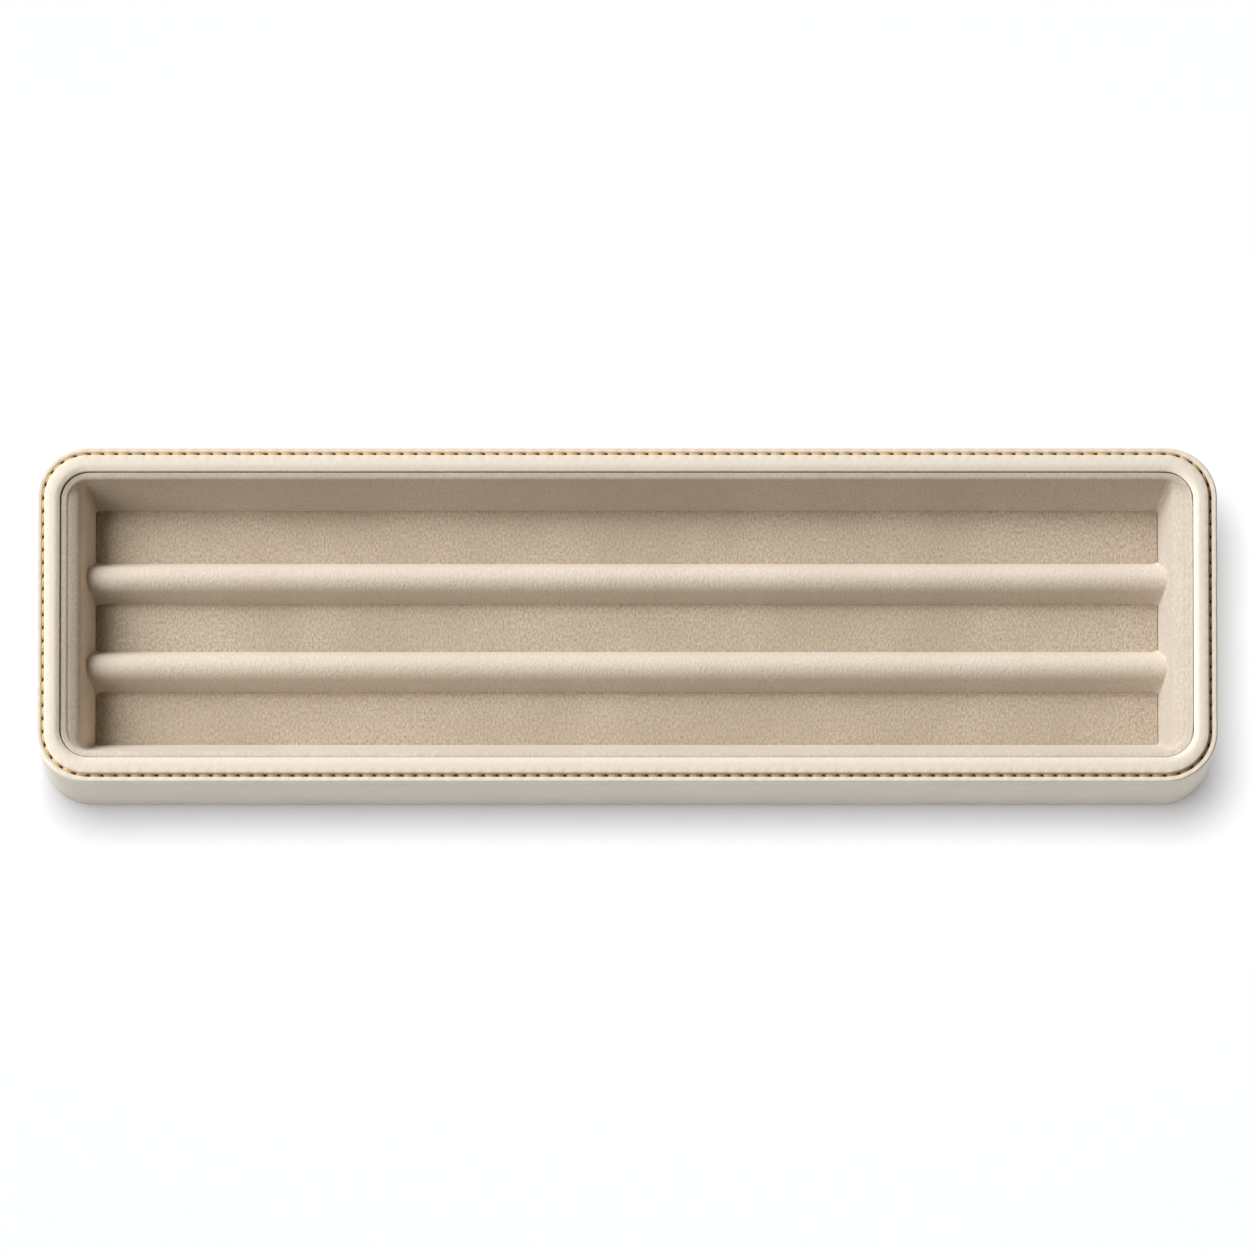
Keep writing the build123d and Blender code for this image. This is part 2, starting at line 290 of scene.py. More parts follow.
def relief(tree, height, depth, strength=1.0, invert=False):
    """A bumpy surface of some depth."""
    inputs = {"Height": height, "Strength": strength, "Distance": depth}
    return add_node(tree, "ShaderNodeBump", inputs, invert=invert).outputs["Normal"]


def mark(tree, name):
    """A value that is marked on the mesh."""
    return add_node(tree, "ShaderNodeAttribute", attribute_name=name).outputs["Fac"]


def new_material(name):
    """An empty material, with its node tree and the place on the object."""
    material = bpy.data.materials.new(name)
    material.use_nodes = True
    tree = material.node_tree
    tree.nodes.clear()
    place = add_node(tree, "ShaderNodeTexCoord").outputs["Object"]
    return material, tree, place


def finish_material(tree, inputs):
    """Ends a material in one principled surface."""
    surface = add_node(tree, "ShaderNodeBsdfPrincipled", inputs)
    add_node(tree, "ShaderNodeOutputMaterial", {"Surface": surface.outputs["BSDF"]})


def cream_leather(colours):
    """Smooth cream calf leather, finished with a fine printed grain and a low wax sheen:
    soft broad highlights, faint pebbles, a warmer tone along the seam and painted shade in the
    needle slits."""
    pebble_size = 0.9 * MM
    pebble_relief = 0.035 * MM
    mottle_size = 14 * MM
    material, tree, place = new_material("cream_leather_fine_grain")
    crease = opaque(colours.leather_crease)
    pebbles = add_node(
        tree, "ShaderNodeTexVoronoi", {"Vector": place, "Scale": 1 / pebble_size}, feature="SMOOTH_F1"
    ).outputs["Distance"]
    mottle = speckle(tree, place, mottle_size, detail=3.0)
    creased = remap(tree, pebbles, low=0.3, high=0.9, to_high=0.35)
    mottled = remap(tree, mottle, low=0.35, high=0.7, to_high=0.3)
    tone = blend(tree, creased, opaque(colours.leather), crease)
    tone = blend(tree, mottled, tone, crease)
    tone = blend(tree, mark(tree, "seam"), tone, opaque(colours.seam))
    # Painted shade in the needle slits
    tone = blend(tree, mark(tree, "slit"), tone, opaque(colours.needle_hole_painted_shade))
    finish_material(
        tree,
        {
            "Base Color": tone,
            "Roughness": remap(tree, mottle, low=0.3, high=0.7, to_low=0.5, to_high=0.62),
            "Normal": relief(tree, pebbles, pebble_relief, invert=True),
            "IOR": 1.46,
            "Specular IOR Level": 0.35,
        },
    )
    return material


def tan_thread(colours):
    """Twisted polyester sewing thread: slanting plies with shade between them and a soft sheen."""
    plies_and_turns = (3.0, 9.0, 1.0)
    ply_slant = math.pi / 4
    ply_relief = 0.05 * MM
    tint_size = 5 * MM
    material, tree, place = new_material("tan_thread_twisted")
    wound = add_node(tree, "ShaderNodeUVMap").outputs["UV"]
    turned = stretch(tree, wound, plies_and_turns, ply_slant)
    twist = add_node(
        tree, "ShaderNodeTexWave", {"Vector": turned, "Scale": 0.32, "Distortion": 0.6}, wave_type="BANDS"
    ).outputs["Fac"]
    tint = speckle(tree, place, tint_size, detail=1.0)
    shaded = blend(tree, twist, opaque(colours.thread_shade), opaque(colours.thread))
    lightness = remap(tree, tint, low=0.3, high=0.7, to_low=0.85, to_high=1.15)
    uneven = add_node(tree, "ShaderNodeHueSaturation", {"Color": shaded, "Value": lightness})
    finish_material(
        tree,
        {
            "Base Color": uneven.outputs["Color"],
            "Roughness": 0.5,
            "Normal": relief(tree, twist, ply_relief, strength=0.8),
            "Specular IOR Level": 0.4,
            "Sheen Weight": 0.2,
        },
    )
    return material


# How much the painted light pales the suede where the mesh marks it 1; at -1 it is painted shade, as much
# darker
PAINTED_LIGHT_CONTRAST = 0.3


def napped_fabric(name, light, shade, nap_size, nap_relief, sheen):
    """A brushed surface of short standing fibres: no gloss, a speckle of lit and shaded tufts,
    drifts where the fibres lie another way, a pale bloom towards the edges, and painted light and
    shade where the mesh marks it."""
    drift_size = 24 * MM
    combing = (1.2, 0.65, 1.0)
    material, tree, place = new_material(name)
    nap_and_painted_light = speckle(tree, stretch(tree, place, combing), nap_size, detail=3.0, roughness=0.75)
    drift = speckle(tree, place, drift_size, detail=2.0)
    tuft = remap(tree, nap_and_painted_light, low=0.32, high=0.68)
    lie = remap(tree, drift, low=0.35, high=0.65, to_high=0.35)
    tone = blend(tree, tuft, opaque(shade), opaque(light))
    tone = blend(tree, lie, tone, opaque(shade))
    # Painted light and shade: where the mesh marks it, the whole tone is paled or darkened
    lightness = add_node(
        tree, "ShaderNodeMath", {0: mark(tree, "nap_and_painted_light"), 1: PAINTED_LIGHT_CONTRAST, 2: 1.0}, operation="MULTIPLY_ADD"
    ).outputs["Value"]
    brushed = add_node(tree, "ShaderNodeHueSaturation", {"Color": tone, "Value": lightness})
    finish_material(
        tree,
        {
            "Base Color": brushed.outputs["Color"],
            "Roughness": 0.95,
            "Normal": relief(tree, nap_and_painted_light, nap_relief),
            "Specular IOR Level": 0.1,
            "Sheen Weight": sheen,
            "Sheen Roughness": 0.6,
        },
    )
    return material


# Microsuede's fibres are finer than the picture shows, so its speckle has the size of the tufts
# that they gather into
TUFT_SIZE = 0.6 * MM


def wall_suede(colours):
    """Brushed microsuede: matt, with a fine soft speckle."""
    return napped_fabric(
        "taupe_suede_walls", colours.wall_suede, colours.wall_suede_shade,
        TUFT_SIZE, nap_relief=0.08 * MM, sheen=0.15,
    )


def ridge_suede_painted_light(colours):
    """The same microsuede in a paler tone: painted light on the ridges."""
    return napped_fabric(
        "taupe_suede_ridges_painted_light", colours.ridge_suede_painted_light, colours.ridge_suede_shade,
        TUFT_SIZE, nap_relief=0.16 * MM, sheen=0.15,
    )


def floor_suede(colours):
    """The same microsuede in a darker tone with rougher relief: painted shade on the floor."""
    return napped_fabric(
        "taupe_suede_floor_painted_shade", colours.floor_suede, colours.floor_suede_shade,
        TUFT_SIZE, nap_relief=0.16 * MM, sheen=0.1,
    )


def pressed_felt(colours):
    """Pressed wool felt: matt, with a coarse tangle of lighter and darker fibres."""
    return napped_fabric(
        "taupe_felt_pressed", colours.felt, colours.felt_shade,
        nap_size=1.6 * MM, nap_relief=0.3 * MM, sheen=0.1,
    )


def pressed_board(name, light, shade, fleck_size):
    """Board pressed from fibres: matt and even, flecked with darker fibres that lie flat."""
    flattening = (1.0, 1.0, 4.0)
    fleck_relief = 0.02 * MM
    material, tree, place = new_material(name)
    flecks = speckle(tree, stretch(tree, place, flattening), fleck_size, detail=4.0, roughness=0.7)
    tone = blend(tree, remap(tree, flecks, low=0.4, high=0.7), opaque(light), opaque(shade))
    finish_material(
        tree,
        {
            "Base Color": tone,
            "Roughness": 0.85,
            "Normal": relief(tree, flecks, fleck_relief),
            "Specular IOR Level": 0.25,
        },
    )
    return material


def shared_material(make, context):
    """The material that this function makes, made once for all the pieces that wear it."""
    made = context.scene.get("pen_tray_materials", {})
    if make.__name__ not in made:
        material = make(context.scene.pen_tray_colours)
        made = {**made, make.__name__: material}
        context.scene["pen_tray_materials"] = made
    return context.scene["pen_tray_materials"][make.__name__]


def clamp(value, low=0, high=1):
    """The value, kept inside a range."""
    return min(max(value, low), high)


def bump(value, reach):
    """A smooth hump, 1 at zero and 0 beyond the reach."""
    share = min(abs(value) / reach, 1)
    return (1 - share * share) ** 2


def rise(edge):
    """How far an edge climbs."""
    return abs(edge.verts[0].co.z - edge.verts[1].co.z)


def of_kind(geometry, kind):
    """The verts or edges among what an operator made."""
    return [item for item in geometry if isinstance(item, kind)]


def round_off(bm, geometry, offset, segments, affect="EDGES"):
    """Rounds edges, or the corners of an outline."""
    bmesh.ops.bevel(
        bm, geom=geometry, offset=offset, offset_type="OFFSET", segments=segments,
        profile=0.5, affect=affect, material=-1,
    )


def cut_across(bm, place, axis):
    """Cuts the whole mesh along a plane and keeps both sides."""
    whole = bm.verts[:] + bm.edges[:] + bm.faces[:]
    bmesh.ops.bisect_plane(bm, geom=whole, dist=MERGE_DISTANCE, plane_co=place, plane_no=axis)


def quarter_span(quarter):
    """Half the tray's length and depth as seen from one of its four sides."""
    return (half_length, half_width) if quarter % 2 == 0 else (half_width, half_length)


def draw_outline(bm, corners, to_point):
    """Closed outline through corners of (across, up, setback, segments), each rounded off from
    its setback on either side."""
    verts = [bm.verts.new(to_point(across, up)) for across, up, setback, segments in corners]
    for first, second in zip(verts, verts[1:] + verts[:1]):
        bm.edges.new((first, second))
    for vert, (across, up, setback, segments) in zip(verts, corners):
        if setback:
            round_off(bm, [vert], setback, segments, "VERTICES")
    bmesh.ops.remove_doubles(bm, verts=bm.verts, dist=MERGE_DISTANCE)


def new_ring(section, columns, corner_columns):
    """A wall section drawn round the tray. The section's corners run in from the rim's outer
    edge and up from the table, and columns says how finely a run of some length is divided."""
    bm = bmesh.new()
    start_x = corner_radius - half_length
    draw_outline(bm, section, lambda inset, level: (start_x, inset - half_width, level))
    front = bm.edges[:]
    long_edges = []
    for quarter in range(4):
        span, depth = quarter_span(quarter)
        turn = Matrix.Rotation(quarter * QUARTER_TURN, 3, "Z")
        run = 2 * (span - corner_radius)
        before = set(bm.edges)
        made = bmesh.ops.extrude_edge_only(bm, edges=front)["geom"]
        verts = of_kind(made, bmesh.types.BMVert)
        bmesh.ops.translate(bm, verts=verts, vec=turn @ Vector((run, 0, 0)))
        front = of_kind(made, bmesh.types.BMEdge)
        ends = set(front)
        long_edges.append(([e for e in bm.edges if e not in before and e not in ends], columns(run)))
        centre = turn @ Vector((span - corner_radius, corner_radius - depth, 0))
        spun = bmesh.ops.spin(
            bm, geom=front, cent=centre, axis=(0, 0, 1), angle=QUARTER_TURN, steps=corner_columns
        )
        front = of_kind(spun["geom_last"], bmesh.types.BMEdge)
    for edges, count in long_edges:
        bmesh.ops.subdivide_edges(bm, edges=edges, cuts=count - 1)
    bmesh.ops.remove_doubles(bm, verts=bm.verts, dist=MERGE_DISTANCE)
    bmesh.ops.recalc_face_normals(bm, faces=bm.faces)
    return bm


def add_row(bm, half_x, half_y, radius, level, corner_steps, long_cuts, short_cuts):
    """One rounded rectangle of edges at a level."""
    known = set(bm.edges)
    verts = bmesh.ops.create_grid(bm, x_segments=1, y_segments=1, size=1)["verts"]
    bmesh.ops.delete(bm, geom=verts[0].link_faces[:], context="FACES_ONLY")
    bmesh.ops.scale(bm, verts=verts, vec=(half_x, half_y, 0))
    bmesh.ops.translate(bm, verts=verts, vec=(0, 0, level))
    round_off(bm, verts, radius, corner_steps, "VERTICES")
    sides = [edge for edge in bm.edges if edge not in known]
    lengthways = [e for e in sides if abs(e.verts[0].co.x - e.verts[1].co.x) > half_x - radius]
    crossways = [e for e in sides if abs(e.verts[0].co.y - e.verts[1].co.y) > half_y - radius]
    bmesh.ops.subdivide_edges(bm, edges=lengthways, cuts=long_cuts)
    bmesh.ops.subdivide_edges(bm, edges=crossways, cuts=short_cuts)
    return [edge for edge in bm.edges if edge not in known]


def new_piece(name, bm, material, replaced, crease=40.0):
    """Turns a mesh into a piece of the tray, sharp along edges that bend more than the crease."""
    for face in bm.faces:
        face.smooth = True
    for edge in bm.edges:
        edge.smooth = edge.calc_face_angle(math.pi) < math.radians(crease)
    mesh = bpy.data.meshes.new(name)
    bm.to_mesh(mesh)
    bm.free()
    mesh.materials.append(material)
    piece = bpy.data.objects.new(name, mesh)
    bpy.context.scene.collection.objects.link(piece)
    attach(piece, "root")
    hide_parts(*replaced)
    return piece


def soften(piece, levels):
    """Finishes a piece with a subdivision surface."""
    subdivision = piece.modifiers.new("Soft", "SUBSURF")
    subdivision.levels = levels
    subdivision.render_levels = levels


def stitch_count(run, leather):
    """How many stitches a run of seam has."""
    return round(run / leather.stitch_pitch)


def corner_stitches(leather):
    """How many stitches go round one corner."""
    return stitch_count((corner_radius - stitch_inset) * QUARTER_TURN, leather)


def stitch_places(leather):
    """Where each stitch lies, as the place of one drawn along X, anticlockwise from the front."""
    bend = corner_radius - stitch_inset
    for quarter in range(4):
        span, depth = quarter_span(quarter)
        turn = Matrix.Rotation(quarter * QUARTER_TURN, 4, "Z")
        run = 2 * (span - corner_radius)
        count = stitch_count(run, leather)
        for index in range(count):
            along = ((index + 0.5) / count - 0.5) * run
            yield turn @ Matrix.Translation((along, stitch_inset - depth, thread_level))
        centre = Matrix.Translation((span - corner_radius, corner_radius - depth, thread_level))
        count = corner_stitches(leather)
        for index in range(count):
            swing = Matrix.Rotation((index + 0.5) / count * QUARTER_TURN, 4, "Z")
            yield turn @ centre @ swing @ Matrix.Translation((0, -bend, 0))


def seam_place(point, leather):
    """How far in from the rim's edge a point lies, and its place along the seam in stitches,
    which is a whole number at each needle slit."""
    across = abs(point.x) - (half_length - corner_radius)
    along = abs(point.y) - (half_width - corner_radius)
    if across > 0 and along > 0:
        inset = corner_radius - math.hypot(across, along)
        even_corner = (point.x > 0) == (point.y < 0)
        swing = math.atan2(across, along) if even_corner else math.atan2(along, across)
        return inset, swing / QUARTER_TURN * corner_stitches(leather)
    if along > across:
        run, place, inset = 2 * (half_length - corner_radius), point.x, half_width - abs(point.y)
        place = place if point.y < 0 else -place
    else:
        run, place, inset = 2 * (half_width - corner_radius), point.y, half_length - abs(point.x)
        place = place if point.x > 0 else -place
    return inset, (place / run + 0.5) * stitch_count(run, leather)


def ridge_feet(ridge, suede):
    """Where a ridge's suede meets the floor in front of it and behind it."""
    low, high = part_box(f"divider_suede_{ridge}")
    return low.y + suede.ridge_tuck, high.y - suede.ridge_tuck


def channel_edges(suede):
    """Front and back edges of the three channels' floors, from the front to the back."""
    feet = [foot for ridge in RIDGES for foot in ridge_feet(ridge, suede)]
    edges = [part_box("floor_suede_front")[0].y, *feet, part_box("floor_suede_back")[1].y]
    return zip(edges[::2], edges[1::2])


class PENTRAY_OT_side_leather(bpy.types.Operator):
    """Leather band round the outside, turned in under the rim and under the base"""

    bl_idname = "pen_tray.side_leather"
    bl_label = "Side leather"

    def execute(self, context):
        leather = context.scene.pen_tray_leather
        column_width = 4 * MM
        wave_size = 30 * MM
        height = flange_bottom - hem_level

        def face_inset(level):
            return leather.side_overhang + leather.side_taper * (flange_bottom - level) / height

        hem_top = hem_level + leather.side_thickness
        rail_top = flange_bottom - leather.side_thickness
        hem_end = face_inset(hem_level) + leather.hem_width
        section = [
            (rail_inset, flange_bottom, 0, 0),
            (face_inset(flange_bottom), flange_bottom, leather.top_fold, 3),
            (face_inset(hem_level), hem_level, leather.base_fold, 5),
            (hem_end, hem_level, 0, 0),
            (hem_end, hem_top, 0, 0),
            (face_inset(hem_top) + leather.side_thickness, hem_top, 0, 0),
            (face_inset(rail_top) + leather.side_thickness, rail_top, 0, 0),
            (rail_inset, rail_top, 0, 0),
        ]
        bm = new_ring(section, columns=lambda run: round(run / column_width), corner_columns=16)
        faces = [edge for edge in bm.edges if rise(edge) > height / 2]
        bmesh.ops.subdivide_edges(bm, edges=faces, cuts=7)
        for vert in bm.verts:
            share = (vert.co.z - hem_level) / height
            wave = leather.side_wave * noise.noise(vert.co / wave_size) * bump(2 * share - 1, 1)
            outward = Vector((vert.co.x, vert.co.y * half_length / half_width, 0)).normalized()
            vert.co += outward * wave
            across = abs(vert.co.x) - (half_length - corner_radius)
            along = abs(vert.co.y) - (half_width - corner_radius)
            if across > 0 and along > 0:
                radius = math.hypot(across, along)
                diagonal = 2 * across * along / radius ** 2
                is_face = corner_radius - radius < face_inset(vert.co.z) + leather.side_thickness / 2
                tuck = leather.corner_tuck * diagonal * (1 - share) * is_face / radius
                vert.co.x -= math.copysign(across * tuck, vert.co.x)
                vert.co.y -= math.copysign(along * tuck, vert.co.y)
        material = shared_material(cream_leather, context)
        new_piece("side_leather", bm, material, ["side_wrap"])
        return {"FINISHED"}


class PENTRAY_OT_rim(bpy.types.Operator):
    """Padded leather rim, drawn in along its stitches"""

    bl_idname = "pen_tray.rim"
    bl_label = "Rim roll"

    def execute(self, context):
        leather = context.scene.pen_tray_leather
        groove = leather.groove_width / 2
        bend = leather.roll_turn - leather.roll_crest
        # The share of a bend's length that its rounding takes up
        soft = 0.4
        inside = rail_inset + leather.rim_thickness
        lip = thread_level + leather.lip_height
        crest = rim_high.z
        inner_fall = crest - leather.roll_fall
        section = [
            (0, flange_bottom, leather.lip_round / 4, 2),
            (0, lip, leather.lip_round, 6),
            (stitch_inset - groove, lip, groove / 2, 4),
            (stitch_inset, thread_level + leather.stitch_lift - leather.groove_depth, groove / 2, 3),
            (stitch_inset + groove, crest - leather.roll_foot_drop, groove * soft, 3),
            (stitch_inset + leather.roll_crest, crest, bend * soft, 6),
            (stitch_inset + leather.roll_turn, crest, bend * soft, 6),
            (inside - leather.roll_edge, inner_fall, leather.roll_edge / 2, 3),
            (inside, inner_fall - leather.roll_edge, leather.roll_edge / 3, 2),
            (inside, rim_low.z, 0, 0),
            (rail_inset, rim_low.z, 0, 0),
            (rail_inset, flange_bottom, 0, 0),
        ]
        columns_in_stitch = 8
        bm = new_ring(
            section,
            columns=lambda run: stitch_count(run, leather) * columns_in_stitch,
            corner_columns=corner_stitches(leather) * columns_in_stitch,
        )
        self.draw_in(bm, leather)
        material = shared_material(cream_leather, context)
        rim = new_piece("rim_roll", bm, material, ["rim_cover", "rim_padding"])
        return {"FINISHED"}

    def draw_in(self, bm, leather):
        """Sinks the needle slits, puckers the leather beside them, and marks the slits for painted shade
        and the seam for its warmer tone.
        """
        seam_layer = bm.verts.layers.float.new("seam")
        slit_painted_shade_layer = bm.verts.layers.float.new("slit")
        groove = leather.groove_width / 2
        roll_width = rail_inset + leather.rim_thickness - stitch_inset
        straight_end = half_width - corner_radius
        # A slit fades out past half its length and within the groove, and its painted shade is dark over
        # most of both
        slit_reach = 0.6 * leather.slit_length
        slit_width = 0.8 * groove
        slit_slope = math.tan(leather.stitch_slant * 2)
        slit_painted_shade_strength = 2.2
        seam_tone = 0.7
        for vert in bm.verts:
            if vert.co.z < flange_bottom + MERGE_DISTANCE:
                continue
            inset, place = seam_place(vert.co, leather)
            from_seam = inset - stitch_inset
            from_slit = (place - round(place)) * leather.stitch_pitch
            slit = bump(from_slit - from_seam * slit_slope, slit_reach) * bump(from_seam, slit_width)
            pucker = bump(from_slit, leather.stitch_pitch / 2) * bump(from_seam, leather.roll_crest)
            edge = leather.edge_wear * bump(inset, leather.rim_thickness)
            edge *= noise.noise(vert.co / leather.edge_wear_size)
            crease = leather.roll_crease * bump(inset - rail_inset, leather.rim_thickness)
            crease_place = place * leather.stitch_pitch / leather.roll_crease_size
            crease *= noise.noise(Vector((crease_place, 0, inset)))
            vert.co.z += edge + crease - leather.slit_depth * slit - leather.pucker_depth * pucker
            widened = leather.rim_side_extra * clamp(from_seam / roll_width)
            vert.co.y -= widened * clamp(vert.co.y / straight_end, -1)
            # Painted shade in the needle slits
            vert[slit_painted_shade_layer] = min(slit_painted_shade_strength * slit, 1)
            vert[seam_layer] = seam_tone * bump(from_seam, 2 * groove)


class PENTRAY_OT_stitches(bpy.types.Operator):
    """Tan thread along the rim, one stitch after another"""

    bl_idname = "pen_tray.stitches"
    bl_label = "Rim stitches"

    def execute(self, context):
        leather = context.scene.pen_tray_leather
        seed = 7
        size_spread = 0.06
        slant_spread = 0.35
        shift_spread = 0.06 * MM
        chance = random.Random(seed)
        bm = bmesh.new()
        bm.loops.layers.uv.new("UVMap")
        half_stitch = leather.stitch_length / 2
        lying = Matrix.Rotation(QUARTER_TURN, 4, "Y")
        for place in stitch_places(leather):
            verts = bmesh.ops.create_uvsphere(
                bm, u_segments=8, v_segments=6, radius=1, matrix=lying, calc_uvs=True
            )["verts"]
            full = 1 + chance.uniform(-size_spread, size_spread)
            size = (half_stitch, leather.stitch_width / 2 * full, leather.stitch_height / 2 * full)
            bmesh.ops.scale(bm, verts=verts, vec=size)
            for vert in verts:
                vert.co.z -= leather.stitch_dive * (vert.co.x / half_stitch) ** 4
            slant = leather.stitch_slant * (1 + chance.uniform(-slant_spread, slant_spread))
            shift = chance.uniform(-shift_spread, shift_spread)
            settled = Matrix.Translation((shift, 0, leather.stitch_lift))
            bmesh.ops.transform(
                bm, matrix=place @ settled @ Matrix.Rotation(slant, 4, "Z"), verts=verts
            )
        material = shared_material(tan_thread, context)
        new_piece("rim_thread", bm, material, ["rim_stitches"], crease=180.0)
        return {"FINISHED"}


# Where the lining has its rows, in shares of the shoulder's width and drop, and of the slope
SHOULDER_ROWS = ((0.3, 0.19), (0.9, 0.66))
SLOPE_ROWS = (0.08, 0.3, 0.6, 0.9, 1.0)


class PENTRAY_OT_wall_lining(bpy.types.Operator):
    """Suede over the four padded walls, from the bead at the rim down to the floor"""

    bl_idname = "pen_tray.wall_lining"
    bl_label = "Wall lining"

    def rows(self, suede, leather):
        """The lining's rows as (end inset, side inset, corner radius, level), from the back of the
        wall over the bead, the shoulder and the slope to the foot."""
        bead_start = rail_inset + leather.rim_thickness + suede.bead_gap
        bead_inside = bead_inset + suede.bead_width
        bead_top = bead_level + suede.bead_swell
        wall_top = bead_level + suede.wall_rise
        shoulder_level = wall_top - suede.shoulder_drop
        foot_start = bead_inside + suede.lining_gap
        end_run = half_length - floor_high.x - foot_start - suede.end_shoulder
        side_run = half_width + floor_low.y - foot_start - suede.side_shoulder
        fall = wall_top - floor_level

        def bead_row(inset, level):
            return inset, inset + leather.rim_side_extra, corner_radius - inset, level

        def shoulder_row(width_share, drop_share):
            radius = corner_radius - bead_inside
            radius += (suede.shoulder_radius - radius) * width_share
            side_start = leather.rim_side_extra * (1 - width_share)
            return (
                bead_inside + suede.end_shoulder * width_share,
                bead_inside + side_start + suede.side_shoulder * width_share,
                radius,
                wall_top - suede.shoulder_drop * drop_share,
            )

        def slope_row(share):
            # The padding rounds the wall out, so that it steepens towards the floor
            out = 1 - (1 - share) ** suede.wall_fullness
            return (
                bead_inside + suede.end_shoulder + end_run * out,
                bead_inside + suede.side_shoulder + side_run * out,
                suede.shoulder_radius + (suede.floor_radius - suede.shoulder_radius) * share,
                shoulder_level + (floor_level - shoulder_level) * share,
            )

        rows = [
            bead_row(bead_start, base_level),
            bead_row(bead_start, wall_top - fall / 2),
            bead_row(bead_start, bead_top - suede.bead_fall),
            bead_row(bead_start, bead_top - suede.bead_fall / 4),
            bead_row(bead_start + suede.bead_width / 4, bead_top),
            bead_row(bead_inside - suede.bead_width / 4, bead_top - suede.bead_fall / 2),
            bead_row(bead_inside, bead_top - suede.bead_fall),
            bead_row(bead_inside + suede.bead_width / 8, wall_top - suede.bead_fall / 4),
        ]
        rows += [shoulder_row(width, drop) for width, drop in SHOULDER_ROWS]
        rows += [slope_row(share) for share in SLOPE_ROWS]
        # The wall goes on straight below the floor, with a row there that keeps its foot firm
        foot_hold = 1.2 * MM
        for level in (floor_level - foot_hold, base_level + suede.lining_gap):
            rows.append((*rows[-1][:3], level))
        return rows

    def execute(self, context):
        suede = context.scene.pen_tray_suede
        leather = context.scene.pen_tray_leather
        bm = bmesh.new()
        loops = [
            add_row(
                bm, half_length - end, half_width - side, radius, level,
                corner_steps=6, long_cuts=30, short_cuts=7,
            )
            for end, side, radius, level in self.rows(suede, leather)
        ]
        for first, second in zip(loops, loops[1:] + loops[:1]):
            bmesh.ops.bridge_loops(bm, edges=first + second)
        bmesh.ops.recalc_face_normals(bm, faces=bm.faces)
        bm.normal_update()
        # Painted light and shade on the walls
        self.brush(bm, suede)
        replaced = [f"liner_{part}_{side}" for part in ("suede", "wedge") for side in SIDES]
        material = shared_material(wall_suede, context)
        lining = new_piece("wall_lining", bm, material, replaced, crease=180.0)
        soften(lining, 2)
        return {"FINISHED"}

    def brush(self, bm, suede):
        """Marks painted light and shade: painted light on the left wall, most of all at its top, and
        painted shade on the right wall and along the top of the back one."""
        # Painted light on the left wall, fading downwards; painted shade on the right wall and the back
        # wall's top
        left_painted_light, left_painted_light_fade, right_painted_shade, back_painted_shade = 3.6, 1.7, 1.3, 0.5
        painted_light_layer = bm.verts.layers.float.new("nap_and_painted_light")
        end_start = floor_high.x - suede.painted_light_blend
        back_start = half_width - corner_radius
        for vert in bm.verts:
            end = clamp((abs(vert.co.x) - end_start) / suede.painted_light_blend)
            back = clamp((vert.co.y - back_start) / suede.painted_light_blend)
            facing = vert.normal.x
            depth = (bead_level - vert.co.z) / (bead_level - floor_level)
            left = facing ** 2 * (left_painted_light - left_painted_light_fade * depth)
            nap_and_painted_light = left if vert.co.x < 0 else right_painted_shade * facing
            vert[painted_light_layer] = end * nap_and_painted_light - back_painted_shade * back * vert.normal.z ** 2


class PENTRAY_OT_floor_pads(bpy.types.Operator):
    """Thin suede pads on the floor of the three channels"""

    bl_idname = "pen_tray.floor_pads"
    bl_label = "Floor pads"

    def execute(self, context):
        suede = context.scene.pen_tray_suede
        for channel, edges in zip(CHANNELS, channel_edges(suede)):
            low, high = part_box(f"floor_suede_{channel}")
            low.y, high.y = edges
            spread = Vector((suede.lining_gap, suede.lining_gap + suede.pad_edge, 0))
            low, high = low - spread, high + spread
            low.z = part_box(f"floor_foam_{channel}")[0].z
            bm = bmesh.new()
            verts = bmesh.ops.create_cube(bm, size=1)["verts"]
            bmesh.ops.scale(bm, verts=verts, vec=high - low)
            bmesh.ops.translate(bm, verts=verts, vec=(low + high) / 2)
            uprights = [edge for edge in bm.edges if rise(edge) > MERGE_DISTANCE]
            round_off(bm, uprights, suede.pad_edge, segments=4)
            top = max(bm.faces, key=lambda face: face.calc_center_median().z)
            round_off(bm, top.edges[:], suede.pad_edge, segments=4)
            self.crown(bm, low, high, suede.pad_crown)
            # The pads wear the suede's darker copy, painted shade
            material = shared_material(floor_suede, context)
            replaced = [f"floor_suede_{channel}", f"floor_foam_{channel}"]
            pad = new_piece(f"floor_pad_{channel}", bm, material, replaced)
        return {"FINISHED"}

    def crown(self, bm, low, high, height):
        """Divides a pad's top and raises its middle a little."""
        middle = (low + high) / 2
        half = (high - low) / 2
        for axis, cuts in (((1, 0, 0), 31), ((0, 1, 0), 5)):
            for cut in range(1, cuts + 1):
                cut_across(bm, low + (high - low) * cut / (cuts + 1), axis)
        for vert in bm.verts:
            if vert.co.z > high.z - MERGE_DISTANCE:
                along = (vert.co.x - middle.x) / half.x
                across = (vert.co.y - middle.y) / half.y
                vert.co.z += height * (1 - along ** 6) * (1 - across ** 2)


# Where a ridge is cut across near its ends, in shares of the length over which its feet flare
FLARE_CUTS = (-1.0, -0.65, -0.35, 0.35, 0.65, 1.0)


